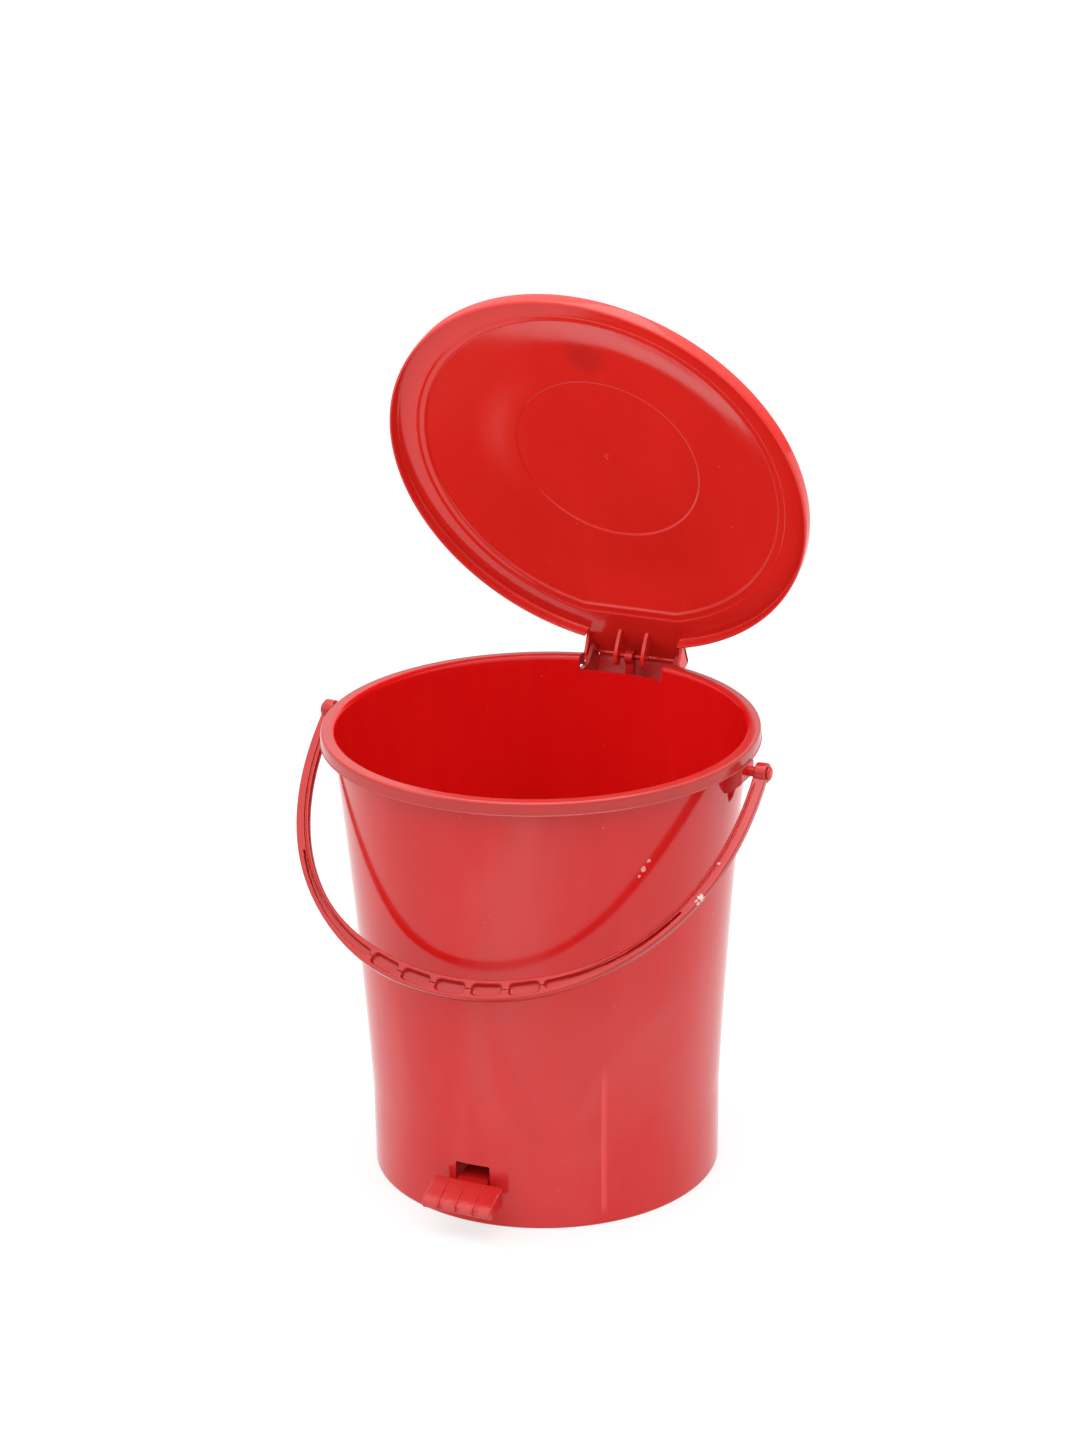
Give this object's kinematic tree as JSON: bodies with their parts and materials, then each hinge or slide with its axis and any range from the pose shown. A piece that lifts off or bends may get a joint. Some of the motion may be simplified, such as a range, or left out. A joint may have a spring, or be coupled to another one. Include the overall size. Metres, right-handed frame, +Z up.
{
  "type": "pedal bin",
  "caption": "Round tapered plastic pedal bin with a domed rear-hinged lid, a front foot pedal, a push rod up the back and a swinging bail handle.",
  "frame": {"origin": "on the floor under the middle of the bin's box, as it stands with its lid open and its handle forward; the tub's own axis is 8 mm in front of it, towards -Y", "axes": "+Z up, -Y to the pedal, +Y to the lid's hinge, +X to the right of someone facing the pedal"},
  "size_m": [0.2912, 0.2844, 0.5286],
  "materials": {
    "tub_plastic": "glossy moulded red plastic with faint flow marks",
    "lid_plastic": "glossy moulded red plastic",
    "handle_plastic": "satin moulded red plastic",
    "pedal_plastic": "satin red plastic, scuffed by shoes",
    "pin_plastic": "satin red plastic",
    "plated_steel": "zinc-plated steel"
  },
  "bodies": {
    "bin": {"bin_body": "tub_plastic", "rod_cover": "tub_plastic", "cover_screw_1": "plated_steel", "cover_screw_2": "plated_steel", "cover_screw_3": "plated_steel", "cover_screw_4": "plated_steel", "hinge_pin_right": "pin_plastic", "hinge_pin_left": "pin_plastic", "pedal_axle": "plated_steel", "axle_clip_right": "plated_steel", "axle_clip_left": "plated_steel", "handle_peg_right": "handle_plastic", "handle_peg_left": "handle_plastic"},
    "lid": {"lid": "lid_plastic", "link_pin": "pin_plastic"},
    "pedal": {"pedal_lever": "pedal_plastic", "pedal_tread": "pedal_plastic", "rod_foot_pin": "plated_steel"},
    "rod": {"push_rod": "pin_plastic"},
    "handle": {"bail_handle": "handle_plastic"}
  },
  "joints": [
    {"name": "lid_hinge", "type": "hinge", "parent": "bin", "child": "lid", "pos_m": [0, 0.1342, 0.2758], "axis": [1, 0, 0], "range_deg": [0, 65.8]},
    {"name": "pedal_pivot", "type": "hinge", "parent": "bin", "child": "pedal", "pos_m": [0, -0.018, 0.025], "axis": [1, 0, 0], "range_deg": [-3.43, 0]},
    {"name": "rod_pivot", "type": "hinge", "parent": "pedal", "child": "rod", "pos_m": [0, 0.1045, 0.025], "axis": [1, 0, 0], "range_deg": [0, 2.6]},
    {"name": "handle_swing", "type": "hinge", "parent": "bin", "child": "handle", "pos_m": [0, -0.008, 0.2678], "axis": [1, 0, 0], "range_deg": [-130, 4]}
  ],
  "couplings": [
    {"joint": "pedal_pivot", "follows": "lid_hinge", "ratio": -0.05213},
    {"joint": "rod_pivot", "follows": "lid_hinge", "ratio": 0.03951}
  ]
}
